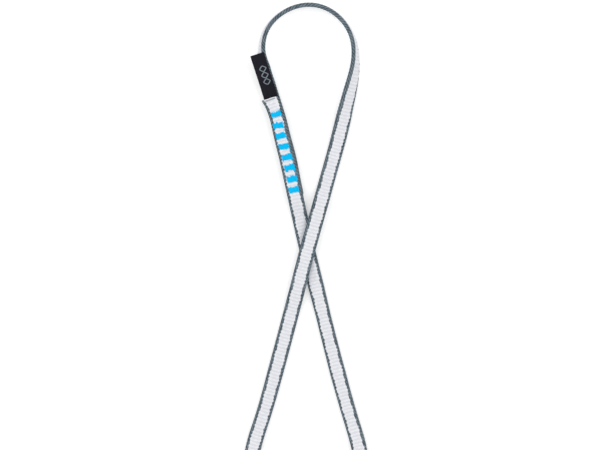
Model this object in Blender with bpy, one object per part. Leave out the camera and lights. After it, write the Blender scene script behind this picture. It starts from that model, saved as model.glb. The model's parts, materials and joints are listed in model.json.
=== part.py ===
"""A short sewn sling: one length of narrow polyethylene webbing lapped into a loop, eight bartacks
through the lap, and a folded woven label caught in it. The sling lies on a table in a crossed
loop, with an arch standing on its edge at each end and two flat legs that cross between them.

Metres, +Z up. The table is z = 0, and the origin is under the middle of the sling's box.
"""
from math import cos, pi, radians, sin

import bmesh
import bpy
import numpy as np
from mathutils import Matrix, Vector

# The webbing: a flat woven strap with soft corners
STRAP_WIDTH = 0.0080
STRAP_THICKNESS = 0.0022
STRAP_CORNER_RADIUS = 0.0007
CORNER_STEPS = 2
STATION_STEP = 0.0055

# What touches in life is kept this far apart
CLEARANCE = 0.0003

# A swept solid's end caps are welded to its sides within this distance
WELD_DISTANCE = 0.000003

WEBBING_COLOUR = (0.74, 0.75, 0.78)
THREAD_COLOUR = (0.0, 0.50, 1.0)
LABEL_COLOUR = (0.016, 0.016, 0.022)

# The strap's line on the table: x, y, and the roll in degrees that lifts its left edge.
# It starts at the upper layer's cut end and runs down the lap, under the crossing, round the
# bottom arch, over the crossing, round the top arch and back along the lap as the lower layer.
ROUTE = (
    (-0.0184, 0.0834, 0),
    (-0.0146, 0.0727, 0),
    (-0.0101, 0.0541, 0),
    (-0.0074, 0.0418, 0),
    (-0.0047, 0.0294, 0),
    (0.0008, 0.0047, 0),
    (0.0061, -0.0170, 0),
    (0.0130, -0.0448, 0),
    (0.0179, -0.0634, 0),
    (0.0233, -0.0819, -2),
    (0.0272, -0.0953, -10),
    (0.0280, -0.1084, -48),
    (0.0217, -0.1218, -77),
    (0.0120, -0.1292, -90),
    (0.0000, -0.1319, -90),
    (-0.0120, -0.1292, -90),
    (-0.0218, -0.1218, -77),
    (-0.0280, -0.1084, -48),
    (-0.0273, -0.0953, -10),
    (-0.0232, -0.0819, -2),
    (-0.0175, -0.0634, 0),
    (-0.0125, -0.0448, 0),
    (-0.0052, -0.0170, 0),
    (0.0004, 0.0047, 0),
    (0.0073, 0.0294, 0),
    (0.0125, 0.0480, 0),
    (0.0175, 0.0665, 4),
    (0.0204, 0.0788, 28),
    (0.0231, 0.0912, 50),
    (0.0251, 0.1050, 73),
    (0.0231, 0.1168, 85),
    (0.0164, 0.1260, 90),
    (0.0061, 0.1313, 92),
    (-0.0032, 0.1313, 92),
    (-0.0124, 0.1275, 90),
    (-0.0202, 0.1193, 86),
    (-0.0229, 0.1091, 77),
    (-0.0214, 0.0973, 38),
    (-0.0177, 0.0851, 0),
    (-0.0141, 0.0727, 0),
    (-0.0094, 0.0542, 0),
    (-0.0069, 0.0418, 0),
    (-0.0036, 0.0261, 0),
)
CURVE_SAMPLES = 4000

# The lap and its bartacks, measured along the strap from the upper layer's cut end
BARTACK_COUNT = 8
FIRST_BARTACK = 0.0083
BARTACK_PITCH = 0.0057
LAST_BARTACK_MARGIN = 0.0032
LAP_RAMP = 0.0120
CROSSING_MARGIN = 0.0010
CROSSING_RAMP = 0.0180

# One bartack: a bar of zigzag thread above and below, and the stitches that join them
BARTACK_WIDTH = 0.0052
BARTACK_LENGTH = 0.0030
BARTACK_TOOTH = 0.0004
TOOTH_DEPTH_SHARES = (1.0, 0.1, 0.8, 0.0, 0.95, 0.25, 0.7, 0.05, 1.0, 0.0, 0.75, 0.2, 0.9)
BAR_THICKNESS = 0.0005
BAR_PROUD = 0.00015
BAR_TABLE_GAP = 0.00005
STITCH_RADIUS = 0.0003
STITCH_SIDES = 8
STITCH_ACROSS_SHARES = (-0.36, -0.12, 0.12, 0.36)
STITCH_ALONG_SHARES = (-0.28, 0.28, -0.28, 0.28)
CUT_OVERRUN = 0.0010

# The label: a folded strip of woven tape, hinged where it leaves the lap
LABEL_WIDTH = 0.0073
LABEL_THICKNESS = 0.0004
LABEL_FLAG_REACH = 0.0226
LABEL_TAIL_LENGTH = 0.0115
LABEL_SIDE_SHIFT = 0.0004
LABEL_HINGE_OFFSET = 0.0010
LABEL_HEADING = radians(18)
LABEL_RAMP = 0.0070
LABEL_STEPS = 10
WIDTH_SAMPLES = 41

LAYER_STEP = STRAP_THICKNESS + CLEARANCE
LABEL_STEP = LABEL_THICKNESS + CLEARANCE
LAP_LENGTH = FIRST_BARTACK + (BARTACK_COUNT - 1) * BARTACK_PITCH + LAST_BARTACK_MARGIN
UP = Vector((0, 0, 1))


def smooth_curve(knots, values, places):
    """A natural cubic spline through the values at the knots, read at the places."""
    gaps = np.diff(knots)
    system = np.eye(len(knots))
    pulls = np.zeros(len(knots))
    for i in range(1, len(knots) - 1):
        system[i, i - 1:i + 2] = gaps[i - 1], 2 * (gaps[i - 1] + gaps[i]), gaps[i]
        pulls[i] = 6 * ((values[i + 1] - values[i]) / gaps[i] - (values[i] - values[i - 1]) / gaps[i - 1])
    bends = np.linalg.solve(system, pulls)
    span = np.clip(np.searchsorted(knots, places) - 1, 0, len(gaps) - 1)
    before = (knots[span + 1] - places) / gaps[span]
    after = 1 - before
    bow = (before ** 3 - before) * bends[span] + (after ** 3 - after) * bends[span + 1]
    return before * values[span] + after * values[span + 1] + bow * gaps[span] ** 2 / 6


def steady_curve(knots, values, places):
    """A smooth curve through the values that never swings past them."""
    gaps = np.diff(knots)
    slopes = np.diff(values) / gaps
    tangents = np.zeros(len(knots))
    same_way = slopes[:-1] * slopes[1:] > 0
    sums = np.where(same_way, slopes[:-1] + slopes[1:], 1)
    tangents[1:-1] = np.where(same_way, 2 * slopes[:-1] * slopes[1:] / sums, 0)
    span = np.clip(np.searchsorted(knots, places) - 1, 0, len(gaps) - 1)
    share = (places - knots[span]) / gaps[span]
    rise = share ** 2 * (3 - 2 * share)
    start_pull = share * (1 - share) ** 2 * tangents[span] * gaps[span]
    end_pull = share ** 2 * (share - 1) * tangents[span + 1] * gaps[span]
    return values[span] * (1 - rise) + values[span + 1] * rise + start_pull + end_pull


def ease_down(distance, start, length):
    """1 up to the start, and smoothly down to 0 over the length."""
    share = np.clip((distance - start) / length, 0, 1)
    return 1 - share ** 2 * (3 - 2 * share)


def seat_height(roll):
    """Height of the strap's middle above what its lowest corner rests on."""
    flat_width = STRAP_WIDTH / 2 - STRAP_CORNER_RADIUS
    flat_thickness = STRAP_THICKNESS / 2 - STRAP_CORNER_RADIUS
    return flat_width * np.abs(np.sin(roll)) + flat_thickness * np.abs(np.cos(roll)) + STRAP_CORNER_RADIUS


def lap_lift(distance):
    """Lift of the upper layer over the lower one, and over the label's tail at its start."""
    over_layer = LAYER_STEP * ease_down(distance, LAP_LENGTH, LAP_RAMP)
    over_tail = LABEL_STEP * ease_down(distance, LABEL_TAIL_LENGTH, LABEL_RAMP)
    return over_layer + over_tail


class StrapLine:
    """The strap's centre line: where it is, how it is rolled and how high it lies."""

    def __init__(self):
        points = np.array(ROUTE, dtype=float)
        knots = np.concatenate(([0], np.cumsum(np.hypot(*np.diff(points[:, :2], axis=0).T))))
        places = np.linspace(0, knots[-1], CURVE_SAMPLES)
        self.x = smooth_curve(knots, points[:, 0], places)
        self.y = smooth_curve(knots, points[:, 1], places)
        self.roll = np.radians(steady_curve(knots, points[:, 2], places))
        steps = np.hypot(np.diff(self.x), np.diff(self.y))
        self.distance = np.concatenate(([0], np.cumsum(steps)))
        self.find_lower_end()
        self.find_crossing()
        self.z = seat_height(self.roll) + lap_lift(self.distance) + self.crossing_lift()

    def find_lower_end(self):
        """The lower layer ends beside the place where the lap's length is reached."""
        x = np.interp(LAP_LENGTH, self.distance, self.x)
        y = np.interp(LAP_LENGTH, self.distance, self.y)
        last_part = self.distance > self.distance[-1] - 2 * LAP_LENGTH
        gap = np.where(last_part, np.hypot(self.x - x, self.y - y), np.inf)
        self.length = self.distance[np.argmin(gap)]

    def find_crossing(self):
        """Places where the two legs cross, and the angle between them."""
        middle = self.length / 2
        under = np.flatnonzero((self.distance > LAP_LENGTH) & (self.distance < middle))
        over = np.flatnonzero((self.distance > middle) & (self.distance < self.length - 2 * LAP_LENGTH))
        gaps = np.hypot(self.x[under, None] - self.x[over], self.y[under, None] - self.y[over])
        first, second = np.unravel_index(np.argmin(gaps), gaps.shape)
        self.under_place = self.distance[under[first]]
        self.over_place = self.distance[over[second]]
        under_way = self.heading(self.under_place)
        over_way = self.heading(self.over_place)
        self.crossing_angle = (-under_way).angle(over_way)

    def crossing_lift(self):
        """The over leg clears the under leg, and climbs and comes down outside their overlap."""
        half = STRAP_WIDTH / 2 * (1 + cos(self.crossing_angle)) / sin(self.crossing_angle)
        along = self.distance - self.over_place
        hump = ease_down(np.abs(along), half + CROSSING_MARGIN, CROSSING_RAMP)
        on_over_leg = self.distance > self.length / 2
        return np.where(on_over_leg, hump * (LAYER_STEP + lap_lift(self.under_place - along)), 0)

    def heading(self, place):
        """The line's level direction at a distance along it."""
        near = np.interp(np.array((place - STRAP_THICKNESS, place + STRAP_THICKNESS)),
                         self.distance, np.arange(CURVE_SAMPLES))
        first, last = (int(index) for index in near)
        return Vector((self.x[last] - self.x[first], self.y[last] - self.y[first], 0)).normalized()

    def point(self, place):
        """The line's point at a distance along it."""
        return Vector([np.interp(place, self.distance, values) for values in (self.x, self.y, self.z)])

    def frame(self, place):
        """A matrix on the line: X to its right, Y along it and Z out of the strap's upper face."""
        reach = STRAP_THICKNESS / 2
        along = (self.point(place + reach) - self.point(place - reach)).normalized()
        right = along.cross(UP).normalized()
        turn = Matrix((right, along, right.cross(along))).transposed()
        return Matrix.Translation(self.point(place)) @ turn.to_4x4()


def collection(name):
    made = bpy.data.collections.new(name)
    bpy.context.scene.collection.children.link(made)
    return made


def plain_material(name, colour, roughness):
    made = bpy.data.materials.new(name)
    made.use_nodes = True
    shader = made.node_tree.nodes["Principled BSDF"]
    shader.inputs["Base Color"].default_value = (*colour, 1)
    shader.inputs["Roughness"].default_value = roughness
    shader.inputs["Metallic"].default_value = 0
    made.diffuse_color = (*colour, 1)
    return made


def add_object(name, mesh, home, colour=None, roughness=0.8):
    made = bpy.data.objects.new(name, mesh)
    home.objects.link(made)
    if colour:
        mesh.materials.append(plain_material(name + "_finish", colour, roughness))
    return made


def mesh_of(curve_object):
    """The curve's mesh with its caps welded; the curve itself is removed."""
    bpy.context.view_layer.update()
    evaluated = curve_object.evaluated_get(bpy.context.evaluated_depsgraph_get())
    mesh = bpy.data.meshes.new_from_object(evaluated)
    bpy.data.objects.remove(curve_object)
    body = bmesh.new()
    body.from_mesh(mesh)
    bmesh.ops.remove_doubles(body, verts=body.verts, dist=WELD_DISTANCE)
    bmesh.ops.recalc_face_normals(body, faces=body.faces)
    body.to_mesh(mesh)
    body.free()
    return mesh


def poly_curve(name, points, home, closed=False):
    """A curve object of straight pieces through the points."""
    curve = bpy.data.curves.new(name, "CURVE")
    spline = curve.splines.new("POLY")
    spline.points.add(len(points) - 1)
    for knot, point in zip(spline.points, points):
        knot.co = (*point, 1)
    spline.use_cyclic_u = closed
    made = bpy.data.objects.new(name, curve)
    home.objects.link(made)
    return made


def plate(name, outline, thickness, home):
    """A flat outline with its thickness split about z = 0."""
    made = poly_curve(name, [(x, y, 0) for x, y in outline], home, closed=True)
    made.data.dimensions = "2D"
    made.data.fill_mode = "BOTH"
    made.data.extrude = thickness / 2
    return mesh_of(made)


def rounded_section():
    """The strap's cross-section: its width along X and its thickness along Y."""
    centre_x = STRAP_WIDTH / 2 - STRAP_CORNER_RADIUS
    centre_y = STRAP_THICKNESS / 2 - STRAP_CORNER_RADIUS
    points = []
    for corner, (side_x, side_y) in enumerate(((1, 1), (-1, 1), (-1, -1), (1, -1))):
        for step in range(CORNER_STEPS + 1):
            angle = pi / 2 * (corner + step / CORNER_STEPS)
            points.append((side_x * centre_x + STRAP_CORNER_RADIUS * cos(angle),
                           side_y * centre_y + STRAP_CORNER_RADIUS * sin(angle), 0))
    return points


def swept_mesh(name, section_points, points, rolls, home):
    """A closed section carried along the points and rolled about them."""
    section = poly_curve(name + "_section", section_points, home, closed=True)
    section.data.dimensions = "2D"
    sweep = poly_curve(name, points, home)
    sweep.data.dimensions = "3D"
    sweep.data.twist_mode = "Z_UP"
    sweep.data.bevel_mode = "OBJECT"
    sweep.data.bevel_object = section
    sweep.data.use_fill_caps = True
    for knot, roll in zip(sweep.data.splines[0].points, rolls):
        knot.tilt = roll
    mesh = mesh_of(sweep)
    bpy.data.objects.remove(section)
    return mesh


def make_webbing(line, parts, guides):
    """One length of webbing swept along the line and rolled about it."""
    count = round(line.length / STATION_STEP) + 1
    places = np.linspace(0, line.length, count)
    points = [line.point(place) for place in places]
    rolls = np.interp(places, line.distance, line.roll)
    mesh = swept_mesh("webbing", rounded_section(), points, rolls, guides)
    return add_object("webbing", mesh, parts, WEBBING_COLOUR, 0.75)


def zigzag_outline():
    """A bar's outline: its two long edges run in teeth, as the thread turns back at each stitch."""
    across = np.linspace(-BARTACK_WIDTH / 2, BARTACK_WIDTH / 2, len(TOOTH_DEPTH_SHARES))
    depth = BARTACK_TOOTH * np.array(TOOTH_DEPTH_SHARES)
    half = BARTACK_LENGTH / 2
    front = [(x, half - cut) for x, cut in zip(across, depth)]
    back = [(x, cut - half) for x, cut in zip(across, depth[::-1])]
    return front[::-1] + back


def pocket_outline():
    """A plain rectangle that clears a bar all round."""
    half_width = BARTACK_WIDTH / 2 + CLEARANCE
    half_length = BARTACK_LENGTH / 2 + CLEARANCE
    return [(-half_width, -half_length), (half_width, -half_length),
            (half_width, half_length), (-half_width, half_length)]


def stitch_posts(body, place, bottom, top, radius):
    """Adds the posts of one bar to a body, upright between two heights."""
    height = top - bottom
    for across, along in zip(STITCH_ACROSS_SHARES, STITCH_ALONG_SHARES):
        foot = Vector((across * BARTACK_WIDTH, along * BARTACK_LENGTH, (bottom + top) / 2))
        bmesh.ops.create_cone(body, cap_ends=True, segments=STITCH_SIDES, radius1=radius, radius2=radius,
                              depth=height, matrix=place @ Matrix.Translation(foot))


def add_placed(body, mesh, matrix):
    """Adds a copy of a mesh to a body, placed by a matrix."""
    placed = mesh.copy()
    placed.transform(matrix)
    body.from_mesh(placed)
    bpy.data.meshes.remove(placed)


def finished_mesh(name, body):
    mesh = bpy.data.meshes.new(name)
    body.to_mesh(mesh)
    body.free()
    return mesh


def hidden_tool(name, mesh, guides):
    """An object that only cuts or joins others."""
    made = add_object(name, mesh, guides)
    made.hide_render = True
    made.display_type = "WIRE"
    return made


def boolean(target, tool, operation):
    made = target.modifiers.new(tool.name, "BOOLEAN")
    made.operation = operation
    made.solver = "EXACT"
    made.object = tool


def bar_places(line):
    """For each bartack, the upper layer's frame and the upright frame on the table below it."""
    places = []
    for index in range(BARTACK_COUNT):
        upper = line.frame(FIRST_BARTACK + index * BARTACK_PITCH)
        right = Vector(upper.col[0][:3])
        forward = UP.cross(right)
        turn = Matrix((right, forward, UP)).transposed().to_4x4()
        ground = Matrix.Translation((upper.translation.x, upper.translation.y, 0)) @ turn
        places.append((upper, ground))
    return places


def make_bartacks(places, parts, guides):
    """Each bartack is two bars of thread and the stitches between them, as one solid."""
    bar = plate("bar", zigzag_outline(), BAR_THICKNESS, guides)
    top_rise = STRAP_THICKNESS / 2 + BAR_PROUD - BAR_THICKNESS / 2
    bottom_rise = BAR_TABLE_GAP + BAR_THICKNESS / 2
    for number, (upper, ground) in enumerate(places, 1):
        name = f"bartack_{number}"
        pads = bmesh.new()
        add_placed(pads, bar, upper @ Matrix.Translation((0, 0, top_rise)))
        add_placed(pads, bar, ground @ Matrix.Translation((0, 0, bottom_rise)))
        bartack = add_object(name, finished_mesh(name, pads), parts, THREAD_COLOUR, 0.5)
        posts = bmesh.new()
        top = upper.translation.z + top_rise
        stitch_posts(posts, ground, bottom_rise, top, STITCH_RADIUS)
        tool = hidden_tool(name + "_stitches", finished_mesh(name + "_stitches", posts), guides)
        boolean(bartack, tool, "UNION")


def make_cutters(places, guides):
    """The pockets that the bars lie in, and the holes that the stitches pass through."""
    depth = BAR_THICKNESS - BAR_PROUD + CLEARANCE
    top_pocket = plate("top_pocket", pocket_outline(), depth + CUT_OVERRUN, guides)
    roof = BAR_TABLE_GAP + BAR_THICKNESS + CLEARANCE
    bottom_pocket = plate("bottom_pocket", pocket_outline(), roof + CUT_OVERRUN, guides)
    pockets = bmesh.new()
    holes = bmesh.new()
    for upper, ground in places:
        rise = STRAP_THICKNESS / 2 - depth / 2 + CUT_OVERRUN / 2
        add_placed(pockets, top_pocket, upper @ Matrix.Translation((0, 0, rise)))
        add_placed(pockets, bottom_pocket, ground @ Matrix.Translation((0, 0, (roof - CUT_OVERRUN) / 2)))
        top = upper.translation.z + STRAP_THICKNESS / 2
        stitch_posts(holes, ground, 0, top, STITCH_RADIUS + CLEARANCE)
    return (hidden_tool("bar_pockets", finished_mesh("bar_pockets", pockets), guides),
            hidden_tool("stitch_holes", finished_mesh("stitch_holes", holes), guides))


def label_section():
    """The label tape's cross-section."""
    half_width = LABEL_WIDTH / 2
    half_thickness = LABEL_THICKNESS / 2
    return [(-half_width, -half_thickness, 0), (half_width, -half_thickness, 0),
            (half_width, half_thickness, 0), (-half_width, half_thickness, 0)]


def place_label_hinge(line, parts):
    """An empty on the line that the label's flag turns about, in the label's upper face."""
    hinge = bpy.data.objects.new("label_hinge", None)
    parts.objects.link(hinge)
    turn = Matrix.Rotation(LABEL_HEADING, 3, "Z")
    cut_end = line.point(0)
    cut_end.z = STRAP_THICKNESS + CLEARANCE + LABEL_THICKNESS
    hinge.location = cut_end + turn @ Vector((LABEL_SIDE_SHIFT, LABEL_HINGE_OFFSET, 0))
    hinge.rotation_euler = (0, 0, LABEL_HEADING)
    hinge.empty_display_size = LABEL_WIDTH / 2
    bpy.context.view_layer.update()
    return hinge


def strap_under_flag(line, hinge, reach):
    """Greatest height of the strap, or else the table, under each place along the flag."""
    near = line.distance > line.length - 2 * LAP_LENGTH
    way = np.column_stack((np.gradient(line.x[near]), np.gradient(line.y[near])))
    way /= np.hypot(way[:, 0], way[:, 1])[:, None]
    left = np.column_stack((-way[:, 1], way[:, 0]))
    roll = line.roll[near, None]
    highest = np.full(len(reach), -hinge.location.z)
    offsets = np.linspace(-STRAP_WIDTH / 2, STRAP_WIDTH / 2, WIDTH_SAMPLES)
    for face in (STRAP_THICKNESS / 2, -STRAP_THICKNESS / 2):
        sideways = offsets * np.cos(roll) - face * np.sin(roll)
        height = line.z[near, None] + offsets * np.sin(roll) + face * np.cos(roll) - hinge.location.z
        x = line.x[near, None] + left[:, :1] * sideways - hinge.location.x
        y = line.y[near, None] + left[:, 1:] * sideways - hinge.location.y
        across = x * cos(LABEL_HEADING) + y * sin(LABEL_HEADING)
        along = y * cos(LABEL_HEADING) - x * sin(LABEL_HEADING)
        below = (np.abs(across) < LABEL_WIDTH / 2 + CLEARANCE) & (along > 0) & (along < reach[-1])
        slots = np.searchsorted(reach, along[below])
        np.maximum.at(highest, slots, height[below])
    return highest


def flag_heights(line, hinge, reach):
    """Heights of the flag's middle at the places along it: it is drawn tight over the strap."""
    needed = strap_under_flag(line, hinge, reach) + CLEARANCE + LABEL_THICKNESS
    needed[0] = -LABEL_THICKNESS / 2
    hull = [0]
    for index in range(1, len(reach)):
        while len(hull) > 1:
            first, last = hull[-2], hull[-1]
            share = (reach[last] - reach[first]) / (reach[index] - reach[first])
            if needed[last] > needed[first] + share * (needed[index] - needed[first]):
                break
            hull.pop()
        hull.append(index)
    return np.interp(reach, reach[hull], needed[hull])


def make_label(line, hinge, parts, guides):
    """The tail lies flat between the strap's layers, and the flag rises over the strap's edge."""
    tail_start = -LABEL_HINGE_OFFSET - LABEL_TAIL_LENGTH
    tail_line = [(0, tail_start, -LABEL_THICKNESS / 2), (0, -CLEARANCE / 2, -LABEL_THICKNESS / 2)]
    tail_mesh = swept_mesh("label_tail", label_section(), tail_line, (0, 0), guides)
    tail = add_object("label_tail", tail_mesh, parts, LABEL_COLOUR)
    tail.location = hinge.location
    tail.rotation_euler = hinge.rotation_euler
    reach = np.linspace(CLEARANCE / 2, LABEL_FLAG_REACH, LABEL_STEPS)
    heights = flag_heights(line, hinge, reach)
    flag_line = [(0, along, height) for along, height in zip(reach, heights)]
    flag_mesh = swept_mesh("label_flag", label_section(), flag_line, np.zeros(LABEL_STEPS), guides)
    flag = add_object("label_flag", flag_mesh, parts, LABEL_COLOUR)
    flag.parent = hinge
    return tail


# The scene is emptied of whatever the file held
for leftover in list(bpy.data.objects):
    bpy.data.objects.remove(leftover, do_unlink=True)

sling_parts = collection("polyethylene_sling")
sling_guides = collection("cutters")
strap_line = StrapLine()
strap = make_webbing(strap_line, sling_parts, sling_guides)
lap_places = bar_places(strap_line)
make_bartacks(lap_places, sling_parts, sling_guides)
pocket_cutter, hole_cutter = make_cutters(lap_places, sling_guides)
boolean(strap, pocket_cutter, "DIFFERENCE")
boolean(strap, hole_cutter, "DIFFERENCE")
flag_hinge = place_label_hinge(strap_line, sling_parts)
label_tail = make_label(strap_line, flag_hinge, sling_parts, sling_guides)
boolean(label_tail, hole_cutter, "DIFFERENCE")
print(f"Strap length {strap_line.length:.4f} m, round the loop {strap_line.length - LAP_LENGTH:.4f} m")
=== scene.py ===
"""The looks of a short sewn sling: narrow white polyethylene webbing with grey edges, lapped into a
loop, joined by eight blue bartacks and carrying a folded black label. It lies on a pale table and
is seen from straight above.

Metres, +Z up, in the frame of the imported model.
"""

import json

import bpy
import numpy as np
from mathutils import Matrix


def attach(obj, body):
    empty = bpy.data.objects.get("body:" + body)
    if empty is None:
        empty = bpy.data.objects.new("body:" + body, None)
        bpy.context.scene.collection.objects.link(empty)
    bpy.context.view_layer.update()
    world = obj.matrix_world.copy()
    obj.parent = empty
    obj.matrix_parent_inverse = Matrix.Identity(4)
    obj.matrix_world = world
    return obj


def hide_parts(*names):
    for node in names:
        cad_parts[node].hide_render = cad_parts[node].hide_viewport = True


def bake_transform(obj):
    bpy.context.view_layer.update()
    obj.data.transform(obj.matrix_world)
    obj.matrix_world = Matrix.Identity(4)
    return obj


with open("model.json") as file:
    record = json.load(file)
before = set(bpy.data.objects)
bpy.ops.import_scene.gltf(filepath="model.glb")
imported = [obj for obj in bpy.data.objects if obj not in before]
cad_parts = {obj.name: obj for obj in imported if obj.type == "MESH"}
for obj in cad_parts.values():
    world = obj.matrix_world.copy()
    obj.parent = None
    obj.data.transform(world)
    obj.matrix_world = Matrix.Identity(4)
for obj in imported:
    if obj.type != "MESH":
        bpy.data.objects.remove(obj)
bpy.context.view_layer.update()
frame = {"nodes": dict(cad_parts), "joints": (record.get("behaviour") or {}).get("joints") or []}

# The strap's line. One length of webbing is laid by hand in a crossed loop: it starts at the upper
# layer's cut end, runs down the lap, under the crossing, round the bottom arch, over the crossing,
# round the top arch and back along the lap. A point is x, y and its roll in degrees, left edge up.
STRAP_WIDTH = 0.0080
STRAP_THICKNESS = 0.0022
STRAP_CORNER = 0.0007
LAYER_GAP = 0.0003
LAP_LENGTH = 0.0514
LAP_RAMP = 0.0120
LABEL_TAIL = 0.0115
LABEL_TAIL_RAMP = 0.0070
LABEL_TAIL_LIFT = 0.0007
CROSSING_MARGIN = 0.0010
CROSSING_RAMP = 0.0180
LINE_SAMPLES = 4000
ROUTE = np.array((
    (-0.0184, 0.0834, 0), (-0.0146, 0.0727, 0), (-0.0125, 0.0639, 0), (-0.0101, 0.0541, 0),
    (-0.0074, 0.0418, 0), (-0.0047, 0.0294, 0), (0.0008, 0.0047, 0), (0.0061, -0.0170, 0),
    (0.0130, -0.0448, 0), (0.0179, -0.0634, 0), (0.0232, -0.0819, -2), (0.0270, -0.0953, -10),
    (0.0280, -0.1084, -48), (0.0217, -0.1218, -77), (0.0120, -0.1292, -90), (0.0000, -0.1319, -90),
    (-0.0120, -0.1292, -90), (-0.0218, -0.1218, -77), (-0.0280, -0.1084, -48), (-0.0270, -0.0953, -10),
    (-0.0229, -0.0819, -2), (-0.0175, -0.0634, 0), (-0.0125, -0.0448, 0), (-0.0052, -0.0170, 0),
    (0.0004, 0.0047, 0), (0.0073, 0.0294, 0), (0.0125, 0.0480, 0), (0.0175, 0.0665, 4),
    (0.0204, 0.0788, 28), (0.0234, 0.0912, 54), (0.0254, 0.1050, 73), (0.0232, 0.1169, 83),
    (0.0165, 0.1262, 86), (0.0061, 0.1316, 87), (-0.0032, 0.1316, 87), (-0.0125, 0.1277, 86),
    (-0.0203, 0.1195, 83), (-0.0229, 0.1091, 77), (-0.0214, 0.0973, 38), (-0.0180, 0.0850, 0),
    (-0.0142, 0.0727, 0), (-0.0120, 0.0639, 0), (-0.0094, 0.0542, 0), (-0.0069, 0.0418, 0),
    (-0.0036, 0.0261, 0)))


def smooth_through(knots, values, places):
    """Natural cubic spline: cubics whose bend runs on from one to the next and is zero at both ends."""
    gaps = np.diff(knots)
    pulls = np.diag(2 * (gaps[:-1] + gaps[1:])) + np.diag(gaps[1:-1], 1) + np.diag(gaps[1:-1], -1)
    bends = np.zeros(len(knots))
    bends[1:-1] = np.linalg.solve(pulls, 6 * np.diff(np.diff(values) / gaps))
    span = np.clip(np.searchsorted(knots, places) - 1, 0, len(gaps) - 1)
    before = (knots[span + 1] - places) / gaps[span]
    after = 1 - before
    bow = (before ** 3 - before) * bends[span] + (after ** 3 - after) * bends[span + 1]
    return before * values[span] + after * values[span + 1] + bow * gaps[span] ** 2 / 6


def steady_through(knots, values, places):
    """Cubic steps between the values, with harmonic-mean slopes, so that it never swings past them."""
    gaps = np.diff(knots)
    slopes = np.diff(values) / gaps
    same_way = slopes[:-1] * slopes[1:] > 0
    sums = np.where(same_way, slopes[:-1] + slopes[1:], 1)
    tangents = np.zeros(len(knots))
    tangents[1:-1] = np.where(same_way, 2 * slopes[:-1] * slopes[1:] / sums, 0)
    span = np.clip(np.searchsorted(knots, places) - 1, 0, len(gaps) - 1)
    share = (places - knots[span]) / gaps[span]
    rise = share ** 2 * (3 - 2 * share)
    pulled = share * (1 - share) ** 2 * tangents[span] - share ** 2 * (1 - share) * tangents[span + 1]
    return values[span] * (1 - rise) + values[span + 1] * rise + pulled * gaps[span]


def ease(value, start, end):
    """0 before the start, 1 past the end, and 3t^2 - 2t^3 between them."""
    share = np.clip((value - start) / (end - start), 0, 1)
    return share ** 2 * (3 - 2 * share)


def lap_lift(along):
    """The upper layer lies one layer up along the lap, and a little more over the label's tail."""
    over_layer = (STRAP_THICKNESS + LAYER_GAP) * (1 - ease(along, LAP_LENGTH, LAP_LENGTH + LAP_RAMP))
    return over_layer + LABEL_TAIL_LIFT * (1 - ease(along, LABEL_TAIL, LABEL_TAIL + LABEL_TAIL_RAMP))


knots = np.concatenate(([0], np.cumsum(np.hypot(*np.diff(ROUTE[:, :2], axis=0).T))))
samples = np.linspace(0, knots[-1], LINE_SAMPLES)
line_x = smooth_through(knots, ROUTE[:, 0], samples)
line_y = smooth_through(knots, ROUTE[:, 1], samples)
line_roll = np.radians(steady_through(knots, ROUTE[:, 2], samples))
line_along = np.concatenate(([0], np.cumsum(np.hypot(np.diff(line_x), np.diff(line_y)))))

# The lower layer ends beside the place where the lap's length is reached
lap_end = [np.interp(LAP_LENGTH, line_along, values) for values in (line_x, line_y)]
to_lap_end = np.hypot(line_x - lap_end[0], line_y - lap_end[1])
to_lap_end[line_along < line_along[-1] - 2 * LAP_LENGTH] = np.inf
STRAP_LENGTH = line_along[np.argmin(to_lap_end)]

# The leg that comes back from the bottom arch rises over the other one where they cross. Straps that
# cross at an angle a lie over each other for half a width times (1 + cos a) / sin a, either way.
outward = np.flatnonzero((line_along > LAP_LENGTH) & (line_along < STRAP_LENGTH / 2))
homeward = np.flatnonzero((line_along > STRAP_LENGTH / 2) & (line_along < STRAP_LENGTH - 2 * LAP_LENGTH))
gaps_between = np.hypot(line_x[outward, None] - line_x[homeward], line_y[outward, None] - line_y[homeward])
first, second = np.unravel_index(np.argmin(gaps_between), gaps_between.shape)
under_place, over_place = line_along[outward[first]], line_along[homeward[second]]
headings = np.arctan2(np.gradient(line_y), np.gradient(line_x))
crossing_angle = abs(headings[homeward[second]] - headings[outward[first]] - np.pi)
crossing_half = STRAP_WIDTH / 2 * (1 + np.cos(crossing_angle)) / np.sin(crossing_angle)
level_half = crossing_half + CROSSING_MARGIN
past_crossing = line_along - over_place
hump = 1 - ease(np.abs(past_crossing), level_half, level_half + CROSSING_RAMP)
hump *= STRAP_THICKNESS + LAYER_GAP + lap_lift(under_place - past_crossing)
hump *= line_along > STRAP_LENGTH / 2

# Where the strap leans it stands on its lower edge, so its middle is higher than where it lies flat
seat = ((STRAP_WIDTH / 2 - STRAP_CORNER) * np.abs(np.sin(line_roll))
        + (STRAP_THICKNESS / 2 - STRAP_CORNER) * np.abs(np.cos(line_roll)) + STRAP_CORNER)
line_z = seat + lap_lift(line_along) + hump
line_points = np.column_stack((line_x, line_y, line_z))
line_ways = np.gradient(line_points, axis=0)
line_ways /= np.linalg.norm(line_ways, axis=1)[:, None]


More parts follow.
